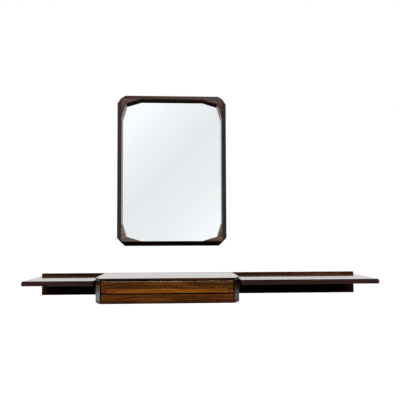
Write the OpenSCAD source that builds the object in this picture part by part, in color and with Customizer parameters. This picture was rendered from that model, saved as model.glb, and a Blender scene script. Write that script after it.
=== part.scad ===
// Wall mirror over a wall-hung console with two stacked drawers.
// X runs along the wall, Y points into the wall, Z points up. Millimetres.
// The origin is on the wall, behind the middle of the drawer box, at mid height of the long rail.

/* [Wall rail] */
// Height of the long rail that everything of the console hangs from
rail_h = 125; // [100:1:150]
// Thickness of the rail
rail_t = 22; // [18:1:28]
// How far the left shelf reaches past the rail's left end
left_overhang = 0; // [0:1:60]
// How far the right shelf reaches past the rail's right end
right_overhang = 0; // [0:1:60]
// Radius of the holes for the wall screws
wall_hole_r = 2.75; // [2.25:0.25:4]
// Radius of the sinking for a wall screw's head
wall_sink_r = 5.5; // [5:0.5:8]
// Depth of that sinking
wall_sink_d = 4; // [2:0.5:8]
// Distance between the two wall screws under the left shelf
left_hole_spacing = 240; // [150:5:280]
// Distance between the two wall screws under the right shelf
right_hole_spacing = 560; // [300:10:620]
// Distance from the rail's lower edge up to the wall screws
wall_hole_up = 32; // [20:1:40]

/* [Shelves] */
// Length of the left shelf along its top edge
left_shelf_l = 359; // [340:1:450]
// Length of the right shelf along its top edge
right_shelf_l = 729; // [720:1:900]
// Depth of the shelves from the wall to their top front edge
shelf_d = 370; // [240:5:380]
// Thickness of a shelf's board, without its top veneer
shelf_t = 24; // [20:1:30]
// How far a shelf's top lies below the top of the rail
shelf_drop = 14; // [8:0.5:30]
// Gap between a shelf's inner end and the drawer box
shelf_gap = 7; // [5:1:40]
// How far the nose of the edge reaches past the shelf's top edge
nose_top = 4; // [3:0.5:12]
// How far the nose reaches past the shelf's lower edge
nose_bottom = 3; // [1:0.5:6]
// Height of the nose above the shelf's underside
nose_up = 11; // [6:0.5:14]
// Width of the solid lipping along the edges
lipping_w = 14; // [8:1:25]
// Radius of the steel pins that carry a shelf
pin_r = 5; // [3:0.5:7]
// How far a pin reaches into its shelf
pin_in_shelf = 160; // [60:5:180]
// Largest distance between two pins
pin_pitch = 150; // [100:10:250]
// Distance from a shelf's ends to its outer pins
pin_margin = 50; // [35:1:70]
// How far a pin's rear end stays inside the rail
pin_set_in = 1; // [0.5:0.5:4]

/* [Top veneer] */
// Thickness of the lacquered veneer on the tops
veneer_t = 1; // [0.6:0.1:2]

/* [Drawer box] */
// Width of the drawer box
box_w = 750; // [680:5:850]
// Depth of the drawer box from the wall
box_d = 400; // [340:5:450]
// Width of a splayed front corner, seen from the front
corner_w = 32; // [24:1:45]
// Depth of a splayed front corner
corner_d = 63; // [40:1:80]
// How far a corner post reaches back past its splay
post_back = 10; // [6:1:25]
// Thickness of the top board, without its veneer
top_t = 9; // [8:0.5:15]
// Thickness of the bottom board
bottom_t = 14; // [12:0.5:20]
// Thickness of the side panels
side_t = 15; // [12:1:20]
// Thickness of the back panel
back_t = 6; // [4:1:10]
// Radius of the dowels between the boards and the sides
dowel_r = 4; // [3:0.5:5]
// How far a dowel reaches into a post or a side
dowel_in_side = 18; // [12:1:25]
// How far a lower dowel reaches into the bottom board
dowel_in_bottom = 9; // [6:0.5:11]
// How far an upper dowel reaches into the top board
dowel_in_top = 6; // [4:0.5:7]

/* [Box screws] */
// Shank radius of the screws that hold the box to the rail
box_screw_r = 2.2; // [1.5:0.1:3]
// Head radius of those screws
box_screw_head_r = 4.5; // [3.5:0.5:6]
// Head height of those screws
box_screw_head_h = 3; // [2:0.5:4]
// How far those screws reach into the rail
box_screw_in = 16; // [10:1:17]
// Distance from the box's sides to those screws
box_screw_inset = 70; // [50:5:120]
// Distance between the upper and the lower screws
box_screw_rise = 56; // [40:2:70]

/* [Drawer fronts] */
// Gap between the top board and the upper front
top_gap = 6; // [3:0.5:9]
// Height of the upper drawer's veneered panel
upper_panel_h = 38.5; // [30:0.5:50]
// Height of the rail along the foot of the upper front
front_rail_h = 21; // [16:1:28]
// Height of the finger gap between the two fronts
finger_gap = 6.5; // [5:0.5:10]
// Height of the lower drawer's front
lower_front_h = 32; // [26:0.5:40]
// Gap between the lower front and the bottom board
foot_gap = 1; // [0.5:0.25:3]
// Thickness of the fronts
front_t = 16; // [14:1:20]
// Gap between a front and the corner posts
front_side_gap = 6; // [2:0.5:9]
// How far the fronts lie behind the box's front edge
front_set_back = 2; // [0:0.5:6]
// Width of the bevel behind the finger gap
grip_bevel = 9; // [5:0.5:11]

/* [Handle lath] */
// Length of the light lath
lath_l = 616; // [560:2:640]
// Thickness of the lath
lath_t = 5; // [4:0.5:8]
// Distance between two lath screws
lath_screw_pitch = 184.5; // [150:0.5:195]
// Shank radius of a lath screw
lath_screw_r = 1.5; // [1:0.1:2]
// Head radius of a lath screw
lath_screw_head_r = 2.8; // [2:0.1:4]
// Head height of a lath screw
lath_screw_head_h = 1.2; // [0.8:0.1:2]
// How far a lath screw reaches into the front
lath_screw_in = 11; // [6:0.5:13]

/* [Drawers] */
// Travel of each drawer
drawer_travel = 250; // [150:5:270]
// Thickness of the drawer sides and backs
drawer_wall = 10; // [8:0.5:14]
// Thickness of the drawer bottoms
drawer_floor = 4; // [3:0.5:6]
// How deep a drawer bottom sits in its grooves
groove_d = 5; // [3:0.5:6]
// Height of a drawer's bottom above the lower edge of its sides
floor_up = 6; // [5.5:0.5:8]
// How far the drawer sides are let into the front
side_housing = 6; // [3:0.5:9]
// How far the drawer sides lie inside the ends of the front
side_inset = 3; // [1:0.5:8]
// How far the upper sides end above the foot of their front
upper_side_up = 8; // [6:0.5:12]
// How far the drawer sides end below the top of their front
side_below_front = 2; // [1:0.5:6]
// Room behind a drawer's back
drawer_back_room = 10; // [6:1:30]
// Width of the runners under the upper drawer
runner_w = 14; // [11:1:25]
// Height of those runners
runner_h = 7; // [5:0.5:7.5]
// Radius of a stop peg
peg_r = 4; // [3:0.5:6]
// Radius of the peg's shank
peg_shank_r = 2.5; // [1.5:0.5:3]
// Length of the peg's shank
peg_shank_l = 6; // [4:0.5:7]
// How far the upper peg overlaps the upper drawer's back
upper_peg_catch = 4; // [2:0.5:10]
// Height of the lower peg above the bottom board
lower_peg_h = 4.5; // [3:0.5:5]

/* [Mirror] */
// Width of the mirror
mirror_w = 650; // [500:10:800]
// Height of the mirror
mirror_h = 900; // [700:10:1100]
// How far the mirror's middle hangs to the right of the box's middle
mirror_x = 18; // [-60:1:60]
// Distance from the console's top up to the mirror
mirror_gap = 159; // [60:1:400]
// Depth of the frame from the wall to its ridge
frame_d = 48; // [36:1:60]
// Depth of the straight outer edge
frame_band = 22; // [16:1:26]
// Width of the sloping face between the outer edge and the ridge
frame_bevel = 27; // [24:0.5:40]
// Width of the flat on top of the ridge
ridge_flat = 1; // [0.5:0.5:4]
// Length that is cut off each outer corner, along each side
corner_cut = 47; // [38:1:50]
// Length of the flat facet at an inner corner, along each side
kite_leg = 112; // [80:2:160]
// Width of that facet at the corner, along each side
kite_inset = 26; // [16:1:34]
// Width of the rebate for the glass
rebate_w = 9; // [6:0.5:11]
// Depth of that rebate
rebate_d = 9; // [8.5:0.5:14]
// Wood left between the rebate and a cut corner, along each side
rebate_corner_wood = 18; // [12:1:20]
// Thickness of the mirror glass
glass_t = 4; // [3:0.5:5]
// Thickness of the backing board
backing_t = 3; // [2:0.5:3]
// Room around the glass and the board in the rebate
glass_play = 1; // [0.5:0.25:2]
// Radius of a backing brad
brad_r = 0.7; // [0.5:0.1:0.9]
// Length of a brad inside the frame
brad_in = 8; // [5:0.5:10]
// Length of a brad over the board
brad_over = 6; // [4:0.5:10]
// Largest distance between two brads
brad_pitch = 260; // [120:10:320]
// Distance from a hanger plate to the nearest brad
brad_off_hanger = 12; // [4:1:30]

/* [Mitre splines] */
// Thickness of a spline
spline_t = 3; // [2:0.5:5]
// Length of a spline along its mitre
spline_l = 28; // [18:1:30]
// Width of a spline across its mitre
spline_w = 34; // [20:1:36]
// Depth of a spline behind the rebate
spline_behind = 9; // [4:0.5:12]

/* [Hangers] */
// Distance between the two hanger holes
hanger_spacing = 400; // [250:10:440]
// Radius of a hanger hole
hanger_hole_r = 3.5; // [2.5:0.25:4]
// Length of a hanger plate
hanger_l = 48; // [40:1:70]
// Height of a hanger plate
hanger_h = 14; // [12:0.5:15]
// Thickness of a hanger plate
hanger_t = 1.5; // [1:0.25:2]
// Distance from the frame's edge to a hanger plate
hanger_edge = 2; // [1.5:0.25:2.5]
// Length of the hollow behind a hanger plate
hanger_hollow_l = 22; // [14:1:24]
// Height of that hollow
hanger_hollow_h = 10; // [9:0.5:11]
// Depth of that hollow
hanger_hollow_d = 12; // [8:0.5:15]
// Distance from a plate's middle to its screws
hanger_screw_x = 18; // [16.5:0.5:19]
// Shank radius of a hanger screw
hanger_screw_r = 1.4; // [1:0.1:1.8]
// Head radius of a hanger screw
hanger_head_r = 2.6; // [2.2:0.1:3]
// Head height of a hanger screw
hanger_head_h = 0.8; // [0.5:0.1:0.9]
// How far a hanger screw reaches into the frame
hanger_screw_in = 14; // [8:1:16]

/* [Clearances] */
// Radial clearance of pins, dowels, screws and brads in their holes
pin_play = 0.1; // [0.05:0.05:0.3]
// Clearance of splines, grooves and housings
joint_play = 0.15; // [0.05:0.05:0.3]
// Clearance between a drawer and what it slides on
slide_play = 0.3; // [0.2:0.1:1]
// Clearance between a drawer's sides and its guides
guide_play = 0.5; // [0.3:0.1:2]

/* [Hidden] */
$fn = 32;
over = 1;    // how far a cut runs past the face that it opens

rosewood = [0.27, 0.14, 0.07];
rosewood_dark = [0.20, 0.12, 0.09];
front_wood = [0.36, 0.20, 0.07];
lath_wood = [0.58, 0.35, 0.13];
lining_wood = [0.72, 0.56, 0.38];
top_wood = [0.24, 0.12, 0.08];
board_brown = [0.45, 0.32, 0.20];
steel = [0.62, 0.63, 0.65];
dark_steel = [0.20, 0.17, 0.14];
silver = [0.86, 0.89, 0.91];

// Console heights, from the rail's mid height
console_top = rail_h / 2;
board_under = console_top - veneer_t - top_t;
upper_top = board_under - top_gap;
rail_piece_top = upper_top - upper_panel_h;
upper_foot = rail_piece_top - front_rail_h;
lower_top = upper_foot - finger_gap;
lower_foot = lower_top - lower_front_h;
bottom_top = lower_foot - foot_gap;
box_foot = bottom_top - bottom_t;

// Console places along the wall and out from it
shelf_start = box_w / 2 + shelf_gap;
rail_left = -(shelf_start + left_shelf_l - left_overhang);
rail_right = shelf_start + right_shelf_l - right_overhang;
wall_hole_z = -rail_h / 2 + wall_hole_up;
left_holes_x = (rail_left - shelf_start) / 2;
right_holes_x = (rail_right + shelf_start) / 2;

shelf_top = console_top - shelf_drop;
shelf_wood_top = shelf_top - veneer_t;
shelf_foot = shelf_wood_top - shelf_t;
shelf_mid = shelf_foot + shelf_t / 2;

// Drawer box
post_depth = corner_d + post_back;
post_rear = -(box_d - post_depth);
post_inner = box_w / 2 - corner_w;
side_inner = box_w / 2 - side_t;
back_front = -(rail_t + back_t);
front_w = 2 * (post_inner - front_side_gap);
front_face = -(box_d - front_set_back);
front_rear = front_face + front_t;
drawer_half = front_w / 2 - side_inset;
guide_inner = drawer_half + guide_play;
drawer_rear = back_front - drawer_back_room;
drawer_inner_rear = drawer_rear - drawer_wall;
upper_side_foot = upper_foot + upper_side_up;
upper_side_top = upper_top - side_below_front;
lower_side_foot = bottom_top + slide_play;
lower_side_top = lower_top - side_below_front;
runner_top = upper_side_foot - slide_play;
peg_y = drawer_inner_rear - drawer_travel - peg_r - slide_play;
lath_screw_z = upper_foot + front_rail_h / 2;
lath_face = front_face - lath_t;

// Mirror
mirror_z = console_top + mirror_gap + mirror_h / 2;
opening_inset = frame_bevel + ridge_flat;
glass_front = -rebate_d;
backing_front = glass_front + glass_t;
backing_rear = backing_front + backing_t;
brad_y = backing_rear + brad_r;
rebate_inset = opening_inset - rebate_w;
member_w = opening_inset + kite_inset + over;
spline_y = glass_front - spline_behind;
mitre_start = (corner_cut + rebate_corner_wood) / sqrt(2);
mitre_end = (opening_inset + kite_inset) * sqrt(2);
spline_mid = (mitre_start + mitre_end) / 2;
hanger_z = mirror_h / 2 - hanger_edge - hanger_h / 2;
brads_reach_x = (hanger_spacing - hanger_l) / 2 - brad_off_hanger;
brads_reach_z = mirror_h / 2 - rebate_inset - sheet_cut(rebate_inset) - kite_inset;

// ---- shared shapes

// A board between two values on each axis
module board(x, y, z) {
    translate([x[0], y[0], z[0]]) cube([x[1] - x[0], y[1] - y[0], z[1] - z[0]]);
}

// A round bar along Y, from y[0] to y[1]
module bar_y(x, y, z, r) {
    translate([x, y[1], z]) rotate([90, 0, 0]) cylinder(r = r, h = y[1] - y[0]);
}

// A round bar along Z, from z[0] to z[1]
module bar_z(x, y, z, r) {
    translate([x, y, z[0]]) cylinder(r = r, h = z[1] - z[0]);
}

// An outline drawn on the wall, made into a slab from y[0] to y[1]
module wall_slab(y) {
    translate([0, y[1], 0]) rotate([90, 0, 0]) linear_extrude(y[1] - y[0]) children();
}

// A side view (Y across, Z up), drawn out along X
module along_x(x) {
    translate([x[0], 0, 0]) rotate([90, 0, 90]) linear_extrude(x[1] - x[0]) children();
}

// Evenly spaced values between two ends, no further apart than pitch
function spread(a, b, pitch) =
    let (n = max(1, ceil((b - a) / pitch - 0.01))) [for (i = [0 : n]) a + i * (b - a) / n];

// ---- mirror

module at_mirror() { translate([mirror_x, 0, mirror_z]) children(); }

// A rectangle with its four corners cut off at 45 degrees
module cut_rectangle(w, h, cut) {
    polygon([
        [-w / 2 + cut, -h / 2], [w / 2 - cut, -h / 2], [w / 2, -h / 2 + cut], [w / 2, h / 2 - cut],
        [w / 2 - cut, h / 2], [-w / 2 + cut, h / 2], [-w / 2, h / 2 - cut], [-w / 2, -h / 2 + cut],
    ]);
}

// The cut that keeps a sheet's corner clear of the frame's cut corner
function sheet_cut(inset) = corner_cut + rebate_corner_wood - 2 * inset;

// The twelve-sided opening: at each corner two facets meet at the inner point of the kite
module glass_opening() {
    w = mirror_w / 2 - opening_inset;
    h = mirror_h / 2 - opening_inset;
    polygon([for (s = [[1, 1], [-1, 1], [-1, -1], [1, -1]])
        for (p = s[0] * s[1] > 0
            ? [[w, h - kite_leg], [w - kite_inset, h - kite_inset], [w - kite_leg, h]]
            : [[w - kite_leg, h], [w - kite_inset, h - kite_inset], [w, h - kite_leg]])
            [s[0] * p[0], s[1] * p[1]]]);
}

// The rebate, or a sheet that lies in it with some play
module rebate_outline(play) {
    inset = rebate_inset + play;
    cut_rectangle(mirror_w - 2 * inset, mirror_h - 2 * inset, sheet_cut(rebate_inset));
}

// Section of two opposite members: outer edge, slope and ridge
function frame_section(half) = [
    [-half, 0], [half, 0], [half, -frame_band],
    [half - frame_bevel, -frame_d], [-(half - frame_bevel), -frame_d], [-half, -frame_band],
];

// The whole frame before it is sawn into its four members
module frame_ring() {
    difference() {
        intersection() {
            wall_slab([-frame_d - over, 0]) cut_rectangle(mirror_w, mirror_h, corner_cut);
            translate([0, 0, -mirror_h / 2])
                linear_extrude(mirror_h) polygon(frame_section(mirror_w / 2));
            along_x([-mirror_w / 2, mirror_w / 2])
                polygon([for (p = frame_section(mirror_h / 2)) [p[1], p[0]]]);
        }
        wall_slab([-frame_d - over, over]) glass_opening();
        wall_slab([glass_front, over]) rebate_outline(0);
        splines(joint_play);
        brads(pin_play);
    }
}

// One spline per corner, lying across the mitre
module splines(play) {
    for (sx = [-1, 1]) for (sz = [-1, 1])
        translate([sx * mirror_w / 2, spline_y, sz * mirror_h / 2])
            rotate([0, sx * sz > 0 ? -45 : 45, 0])
                translate([-sx * spline_mid, 0, 0])
                    cube([spline_l + 2 * play, spline_t + 2 * play, spline_w + 2 * play], center = true);
}

// The brads that hold the backing board, along all four sides
module brads(play) {
    mid_x = mirror_w / 2 - rebate_inset + (brad_in - brad_over) / 2;
    mid_z = mirror_h / 2 - rebate_inset + (brad_in - brad_over) / 2;
    l = brad_in + brad_over + 2 * play;
    for (side = [-1, 1]) {
        for (x = spread(-brads_reach_x, brads_reach_x, brad_pitch))
            translate([x, brad_y, side * mid_z]) cylinder(r = brad_r + play, h = l, center = true);
        for (z = spread(-brads_reach_z, brads_reach_z, brad_pitch))
            translate([side * mid_x, brad_y, z]) rotate([0, 90, 0])
                cylinder(r = brad_r + play, h = l, center = true);
    }
}

// The part of the ring that one member takes, between two mitres
module mitred(w, h) {
    wall_slab([-frame_d - over, over]) polygon([
        [-w / 2, h / 2], [w / 2, h / 2],
        [w / 2 - member_w, h / 2 - member_w], [-w / 2 + member_w, h / 2 - member_w],
    ]);
}

module mirror_frame_top() color(rosewood) at_mirror() difference() {
    intersection() {
        frame_ring();
        mitred(mirror_w, mirror_h);
    }
    for (x = [-1, 1] * hanger_spacing / 2) {
        board([x - hanger_l / 2 - joint_play, x + hanger_l / 2 + joint_play], [-hanger_t, over],
            [hanger_z - hanger_h / 2 - joint_play, hanger_z + hanger_h / 2 + joint_play]);
        board([x - hanger_hollow_l / 2, x + hanger_hollow_l / 2], [-hanger_hollow_d, 0],
            [hanger_z - hanger_hollow_h / 2, hanger_z + hanger_hollow_h / 2]);
        for (dx = [-1, 1] * hanger_screw_x)
            bar_y(x + dx, [-hanger_screw_in - pin_play, 0], hanger_z, hanger_screw_r + pin_play);
    }
}

module mirror_frame_bottom() color(rosewood) at_mirror() intersection() {
    frame_ring();
    mirror([0, 0, 1]) mitred(mirror_w, mirror_h);
}

module mirror_frame_side(side) color(rosewood) at_mirror() intersection() {
    frame_ring();
    rotate([0, side * 90, 0]) mitred(mirror_h, mirror_w);
}

module mirror_frame_left() { mirror_frame_side(-1); }
module mirror_frame_right() { mirror_frame_side(1); }

module mitre_splines() color(lining_wood) at_mirror() splines(0);

module mirror_glass() color(silver) at_mirror()
    wall_slab([glass_front, backing_front]) rebate_outline(glass_play);

module mirror_backing_board() color(board_brown) at_mirror()
    wall_slab([backing_front, backing_rear]) rebate_outline(glass_play);

module backing_brads() color(steel) at_mirror() brads(0);

module hanger_plates() color(steel) at_mirror() for (x = [-1, 1] * hanger_spacing / 2)
    difference() {
        board([x - hanger_l / 2, x + hanger_l / 2], [-hanger_t, 0],
            [hanger_z - hanger_h / 2, hanger_z + hanger_h / 2]);
        bar_y(x, [-hanger_t - over, over], hanger_z, hanger_hole_r);
        for (dx = [-1, 1] * hanger_screw_x) {
            bar_y(x + dx, [-hanger_t - over, over], hanger_z, hanger_screw_r + pin_play);
            bar_y(x + dx, [-hanger_head_h, over], hanger_z, hanger_head_r + pin_play);
        }
    }

module hanger_screws() color(steel) at_mirror()
    for (x = [-1, 1] * hanger_spacing / 2) for (dx = [-1, 1] * hanger_screw_x) union() {
        bar_y(x + dx, [-hanger_screw_in, 0], hanger_z, hanger_screw_r);
        bar_y(x + dx, [-hanger_head_h, 0], hanger_z, hanger_head_r);
    }

// ---- wall rail and shelves

// The pins of one shelf, in the shelf's own X from its inner end
function pin_places(l) = spread(pin_margin, l - pin_margin, pin_pitch);

module pins(l, play) {
    for (x = pin_places(l))
        bar_y(x, [-(rail_t + pin_in_shelf) - play, -pin_set_in + play], shelf_mid, pin_r + play);
}

// Puts a shelf, drawn from its inner end out to the right, on its side of the box
module on_side(side) {
    mirror([side < 0 ? 1 : 0, 0, 0]) translate([shelf_start, 0, 0]) children();
}

module wall_rail() color(rosewood_dark) difference() {
    board([rail_left, rail_right], [-rail_t, 0], [-rail_h / 2, rail_h / 2]);
    for (x = [left_holes_x - left_hole_spacing / 2, left_holes_x + left_hole_spacing / 2,
              right_holes_x - right_hole_spacing / 2, right_holes_x + right_hole_spacing / 2]) {
        bar_y(x, [-rail_t - over, over], wall_hole_z, wall_hole_r);
        bar_y(x, [-rail_t - over, -rail_t + wall_sink_d], wall_hole_z, wall_sink_r);
    }
    on_side(-1) pins(left_shelf_l, pin_play);
    on_side(1) pins(right_shelf_l, pin_play);
    box_screw_bars(box_screw_r + pin_play, [-rail_t - over, -rail_t + box_screw_in + pin_play]);
}

module shelf_pins() color(steel) {
    on_side(-1) pins(left_shelf_l, 0);
    on_side(1) pins(right_shelf_l, 0);
}

// Edge view of a shelf: straight on one side, nosed on the other, at distance reach
function nosed_edge(start, reach) = [
    [start, shelf_foot], [reach + nose_top - nose_bottom, shelf_foot],
    [reach + nose_top, shelf_foot + nose_up], [reach, shelf_wood_top], [start, shelf_wood_top],
];

// A whole shelf's wood, nosed along its front and its outer end
module shelf_wood(l) {
    intersection() {
        along_x([0, l + nose_top]) polygon([for (p = nosed_edge(rail_t, shelf_d)) [-p[0], p[1]]]);
        translate([0, -rail_t, 0]) rotate([90, 0, 0])
            linear_extrude(shelf_d + nose_top - rail_t) polygon(nosed_edge(0, l));
    }
}

// Plan outlines of the pieces that a shelf is glued up from
module core_plan(l) {
    translate([0, -(shelf_d - lipping_w)]) square([l - lipping_w, shelf_d - lipping_w - rail_t]);
}

module front_lipping_plan(l) {
    far = lipping_w + nose_top + over;
    polygon([[0, -(shelf_d - lipping_w)], [l - lipping_w, -(shelf_d - lipping_w)],
        [l - lipping_w + far, -(shelf_d - lipping_w + far)], [0, -(shelf_d - lipping_w + far)]]);
}

module end_lipping_plan(l) {
    far = lipping_w + nose_top + over;
    polygon([[l - lipping_w, 0], [l - lipping_w + far, 0],
        [l - lipping_w + far, -(shelf_d - lipping_w + far)], [l - lipping_w, -(shelf_d - lipping_w)]]);
}

module shelf_piece(l) {
    intersection() {
        shelf_wood(l);
        translate([0, 0, shelf_foot - over]) linear_extrude(shelf_t + 2 * over) children();
    }
}

module shelf_core(side, l) color(rosewood_dark) on_side(side) difference() {
    shelf_piece(l) core_plan(l);
    pins(l, pin_play);
}

module shelf_veneer(side, l) color(top_wood) on_side(side)
    board([0, l], [-shelf_d, -rail_t], [shelf_wood_top, shelf_top]);

module left_shelf_core() { shelf_core(-1, left_shelf_l); }
module left_front_lipping() color(rosewood)
    on_side(-1) shelf_piece(left_shelf_l) front_lipping_plan(left_shelf_l);
module left_end_lipping() color(rosewood)
    on_side(-1) shelf_piece(left_shelf_l) end_lipping_plan(left_shelf_l);
module left_shelf_veneer() { shelf_veneer(-1, left_shelf_l); }
module right_shelf_core() { shelf_core(1, right_shelf_l); }
module right_front_lipping() color(rosewood)
    on_side(1) shelf_piece(right_shelf_l) front_lipping_plan(right_shelf_l);
module right_end_lipping() color(rosewood)
    on_side(1) shelf_piece(right_shelf_l) end_lipping_plan(right_shelf_l);
module right_shelf_veneer() { shelf_veneer(1, right_shelf_l); }

// ---- drawer box

// Plan of the box: a rectangle with two splayed front corners
module box_plan() {
    polygon([
        [-box_w / 2, -rail_t], [box_w / 2, -rail_t], [box_w / 2, -(box_d - corner_d)],
        [post_inner, -box_d], [-post_inner, -box_d], [-box_w / 2, -(box_d - corner_d)],
    ]);
}

module box_sheet(z) { translate([0, 0, z[0]]) linear_extrude(z[1] - z[0]) box_plan(); }

// Dowels between a side, its post and the two boards
module dowels(play) {
    side_mid = (side_inner + box_w / 2) / 2;
    post_mid = post_rear - post_back;
    for (x = [-1, 1] * side_mid) for (y = [post_mid, post_rear * 0.75, back_front - side_t]) {
        bar_z(x, y, [bottom_top - dowel_in_bottom - play, bottom_top + dowel_in_side + play], dowel_r + play);
        bar_z(x, y, [board_under - dowel_in_side - play, board_under + dowel_in_top + play], dowel_r + play);
    }
}

// The four screws through the back panel into the rail, as bars between two values of Y
module box_screw_bars(r, y) {
    mid = (board_under + bottom_top) / 2;
    for (x = [-1, 1] * (box_w / 2 - box_screw_inset)) for (z = [-1, 1] * box_screw_rise / 2)
        bar_y(x, y, mid + z, r);
}

// A stop peg: its shank in a board and its head in a drawer's way
module stop_peg(shank, head) {
    bar_z(0, peg_y, shank, peg_shank_r);
    bar_z(0, peg_y, head, peg_r);
}

module box_top_board() color(rosewood) difference() {
    box_sheet([board_under, console_top - veneer_t]);
    dowels(pin_play);
    bar_z(0, peg_y, [board_under - over, board_under + peg_shank_l + pin_play], peg_shank_r + pin_play);
}

module box_top_veneer() color(top_wood) box_sheet([console_top - veneer_t, console_top]);

module box_bottom_board() color(rosewood) difference() {
    box_sheet([box_foot, bottom_top]);
    dowels(pin_play);
    bar_z(0, peg_y, [bottom_top - peg_shank_l - pin_play, bottom_top + over], peg_shank_r + pin_play);
}

module box_side(side) color(rosewood) difference() {
    mirror([side < 0 ? 1 : 0, 0, 0])
        board([side_inner, box_w / 2], [post_rear, -rail_t], [bottom_top, board_under]);
    dowels(pin_play);
}

module corner_post(side) color(rosewood) difference() {
    mirror([side < 0 ? 1 : 0, 0, 0]) translate([0, 0, bottom_top])
        linear_extrude(board_under - bottom_top) polygon([
            [post_inner, -box_d], [box_w / 2, -(box_d - corner_d)], [box_w / 2, post_rear],
            [post_inner, post_rear],
        ]);
    dowels(pin_play);
}

module box_left_side() { box_side(-1); }
module box_right_side() { box_side(1); }
module left_corner_post() { corner_post(-1); }
module right_corner_post() { corner_post(1); }

module box_back_panel() color(lining_wood) difference() {
    board([-side_inner, side_inner], [back_front, -rail_t], [bottom_top, board_under]);
    box_screw_bars(box_screw_r + pin_play, [back_front - over, -rail_t + over]);
}

module box_screws() color(steel) {
    box_screw_bars(box_screw_r, [back_front, -rail_t + box_screw_in]);
    box_screw_bars(box_screw_head_r, [back_front - box_screw_head_h, back_front]);
}

module carcass_dowels() color(lining_wood) dowels(0);

// Packing strip that leads a drawer's side
module guide(side) color(lining_wood) mirror([side < 0 ? 1 : 0, 0, 0])
    board([guide_inner, side_inner], [post_rear, back_front], [bottom_top, board_under]);

// Ledge on the packing strip that the upper drawer slides on
module runner(side) color(lining_wood) mirror([side < 0 ? 1 : 0, 0, 0])
    board([guide_inner - runner_w, guide_inner], [post_rear, back_front], [runner_top - runner_h, runner_top]);

module left_guide() { guide(-1); }
module right_guide() { guide(1); }
module left_runner() { runner(-1); }
module right_runner() { runner(1); }

module upper_drawer_stop() color(lining_wood)
    stop_peg([board_under, board_under + peg_shank_l], [upper_side_top - upper_peg_catch, board_under]);

module lower_drawer_stop() color(lining_wood)
    stop_peg([bottom_top - peg_shank_l, bottom_top], [bottom_top, bottom_top + lower_peg_h]);

// ---- drawers

// The bottom panel of a drawer whose sides stand on foot, or the groove that it lies in
module drawer_bottom_panel(foot, play) {
    half = drawer_half - drawer_wall + groove_d;
    board([-half - play, half + play], [front_rear - groove_d - play, drawer_inner_rear + groove_d + play],
        [foot + floor_up - play, foot + floor_up + drawer_floor + play]);
}

// The two sides' ends in the back of the front
module side_housings(foot, top) {
    for (side = [0, 1]) mirror([side, 0, 0])
        board([drawer_half - drawer_wall - joint_play, drawer_half + joint_play],
            [front_rear - side_housing - joint_play, front_rear + over],
            [foot - joint_play, top + joint_play]);
}

module drawer_side(side, foot, top) color(lining_wood) difference() {
    mirror([side < 0 ? 1 : 0, 0, 0])
        board([drawer_half - drawer_wall, drawer_half], [front_rear - side_housing, drawer_rear], [foot, top]);
    drawer_bottom_panel(foot, joint_play);
}

module drawer_back(foot, top) color(lining_wood) difference() {
    board([-(drawer_half - drawer_wall), drawer_half - drawer_wall], [drawer_inner_rear, drawer_rear],
        [foot, top]);
    drawer_bottom_panel(foot, joint_play);
}

// The four lath screws, or their holes, as bars between two values of Y
module lath_screw_bars(r, y) {
    for (i = [-1.5 : 1 : 1.5]) bar_y(i * lath_screw_pitch, y, lath_screw_z, r);
}

module upper_drawer_panel() color(front_wood) difference() {
    board([-front_w / 2, front_w / 2], [front_face, front_rear], [rail_piece_top, upper_top]);
    side_housings(upper_side_foot, upper_side_top);
    drawer_bottom_panel(upper_side_foot, joint_play);
}

module upper_drawer_rail() color(rosewood) difference() {
    along_x([-front_w / 2, front_w / 2]) polygon([
        [front_face, upper_foot], [front_rear - grip_bevel, upper_foot],
        [front_rear, upper_foot + upper_side_up - joint_play], [front_rear, rail_piece_top],
        [front_face, rail_piece_top],
    ]);
    side_housings(upper_side_foot, upper_side_top);
    drawer_bottom_panel(upper_side_foot, joint_play);
    lath_screw_bars(lath_screw_r + pin_play, [front_face - over, front_face + lath_screw_in + pin_play]);
}

module handle_lath() color(lath_wood) difference() {
    board([-lath_l / 2, lath_l / 2], [lath_face, front_face], [upper_foot, rail_piece_top]);
    lath_screw_bars(lath_screw_r + pin_play, [lath_face - over, front_face + over]);
}

module lath_screws() color(dark_steel) {
    lath_screw_bars(lath_screw_r, [lath_face, front_face + lath_screw_in]);
    lath_screw_bars(lath_screw_head_r, [lath_face - lath_screw_head_h, lath_face]);
}

module upper_drawer_left_side() { drawer_side(-1, upper_side_foot, upper_side_top); }
module upper_drawer_right_side() { drawer_side(1, upper_side_foot, upper_side_top); }
module upper_drawer_back() { drawer_back(upper_side_foot, upper_side_top); }
module upper_drawer_bottom() color(board_brown) drawer_bottom_panel(upper_side_foot, 0);

module lower_drawer_front() color(front_wood) difference() {
    along_x([-front_w / 2, front_w / 2]) polygon([
        [front_face, lower_foot], [front_rear, lower_foot], [front_rear, lower_top - grip_bevel],
        [front_rear - grip_bevel, lower_top], [front_face, lower_top],
    ]);
    side_housings(lower_side_foot, lower_side_top);
    drawer_bottom_panel(lower_side_foot, joint_play);
}

module lower_drawer_left_side() { drawer_side(-1, lower_side_foot, lower_side_top); }
module lower_drawer_right_side() { drawer_side(1, lower_side_foot, lower_side_top); }
module lower_drawer_back() { drawer_back(lower_side_foot, lower_side_top); }
module lower_drawer_bottom() color(board_brown) drawer_bottom_panel(lower_side_foot, 0);

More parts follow.
